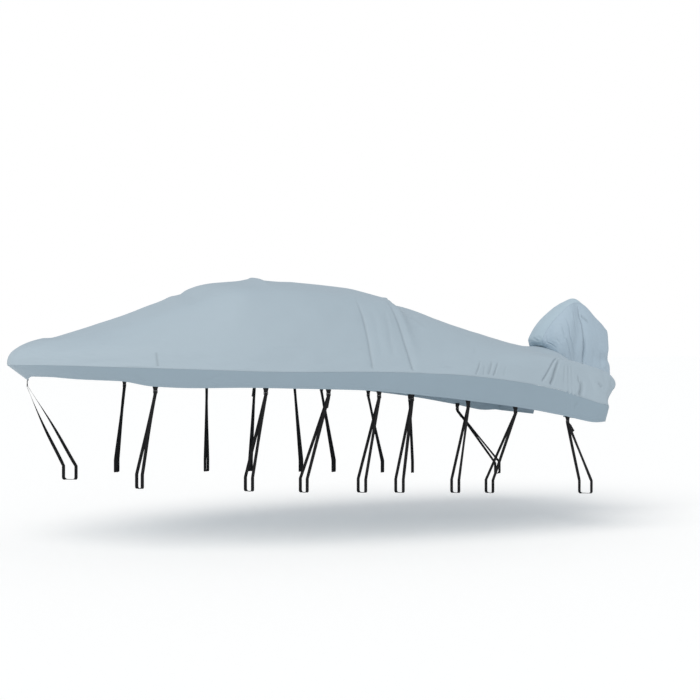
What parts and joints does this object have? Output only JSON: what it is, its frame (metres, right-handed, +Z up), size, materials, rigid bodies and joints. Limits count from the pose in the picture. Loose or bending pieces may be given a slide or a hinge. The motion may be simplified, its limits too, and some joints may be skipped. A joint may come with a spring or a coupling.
{
  "type": "fitted boat cover with hood",
  "caption": "Fitted cover for a small runabout, with sewn deck panels, skirt band, stern hood and webbing tie-down loops.",
  "frame": {"origin": "underside of the top at its highest point on the centreline", "axes": "+X towards the bow, +Y to port, +Z up"},
  "size_m": [5.4037, 2.24, 1.8255],
  "materials": {
    "cloth": "matt pale blue-grey coated polyester",
    "band_cloth": "the same cloth, a little darker in the band",
    "webbing": "matt black webbing",
    "buckle": "satin black plastic"
  },
  "bodies": {
    "root": {"deck_port": "cloth", "deck_starboard": "cloth", "skirt_port": "band_cloth", "skirt_starboard": "band_cloth", "hood_gusset": "cloth", "hood_port": "cloth", "hood_starboard": "cloth", "strap_bow": "webbing", "tab_bow": "webbing", "buckle_bow": "buckle", "strap_port_1": "webbing", "tab_port_1": "webbing", "buckle_port_1": "buckle", "strap_port_2": "webbing", "tab_port_2": "webbing", "buckle_port_2": "buckle", "strap_port_3": "webbing", "tab_port_3": "webbing", "buckle_port_3": "buckle", "strap_port_4": "webbing", "tab_port_4": "webbing", "buckle_port_4": "buckle", "strap_port_5": "webbing", "tab_port_5": "webbing", "buckle_port_5": "buckle", "strap_port_6": "webbing", "tab_port_6": "webbing", "buckle_port_6": "buckle", "strap_port_7": "webbing", "tab_port_7": "webbing", "buckle_port_7": "buckle", "strap_port_8": "webbing", "tab_port_8": "webbing", "buckle_port_8": "buckle", "strap_starboard_1": "webbing", "tab_starboard_1": "webbing", "buckle_starboard_1": "buckle", "strap_starboard_2": "webbing", "tab_starboard_2": "webbing", "buckle_starboard_2": "buckle", "strap_starboard_3": "webbing", "tab_starboard_3": "webbing", "buckle_starboard_3": "buckle", "strap_starboard_4": "webbing", "tab_starboard_4": "webbing", "buckle_starboard_4": "buckle", "strap_starboard_5": "webbing", "tab_starboard_5": "webbing", "buckle_starboard_5": "buckle", "strap_starboard_6": "webbing", "tab_starboard_6": "webbing", "buckle_starboard_6": "buckle", "strap_starboard_7": "webbing", "tab_starboard_7": "webbing", "buckle_starboard_7": "buckle", "strap_starboard_8": "webbing", "tab_starboard_8": "webbing", "buckle_starboard_8": "buckle"}
  },
  "joints": []
}
